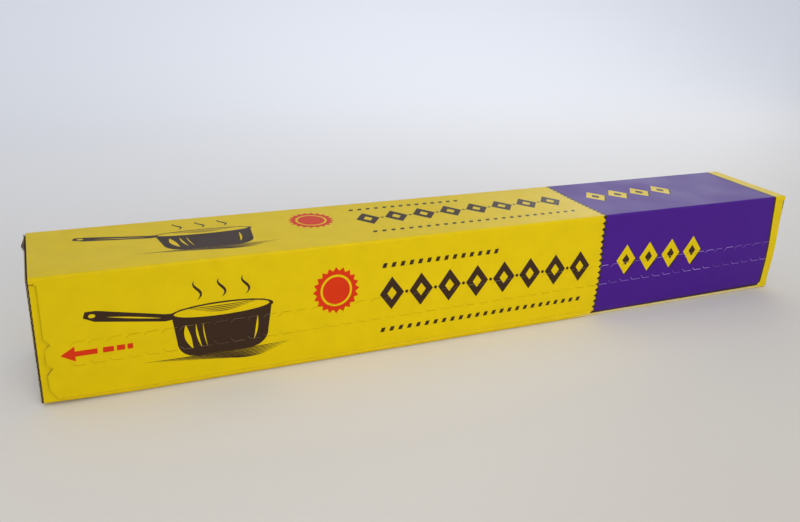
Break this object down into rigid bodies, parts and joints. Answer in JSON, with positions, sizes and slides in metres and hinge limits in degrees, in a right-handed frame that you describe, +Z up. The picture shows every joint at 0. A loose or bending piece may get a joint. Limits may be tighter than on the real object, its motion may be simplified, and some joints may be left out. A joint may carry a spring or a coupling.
{
  "type": "sealed carton of aluminium foil",
  "caption": "Long square corrugated carton holding a wound roll of catering foil, sealed, with a hooked tear-off strip and pull tab across its front panel.",
  "frame": {"origin": "middle of the carton's base panel, on the surface that it stands on", "axes": "+X along the roll, towards the end away from the pull tab; -Y out of the front with the tear strip; +Z up"},
  "size_m": [0.4687, 0.0662, 0.0665],
  "materials": {
    "printed_board": "varnished yellow print on corrugated board"
  },
  "bodies": {
    "root": {"foil_carton": "printed_board"}
  },
  "joints": []
}
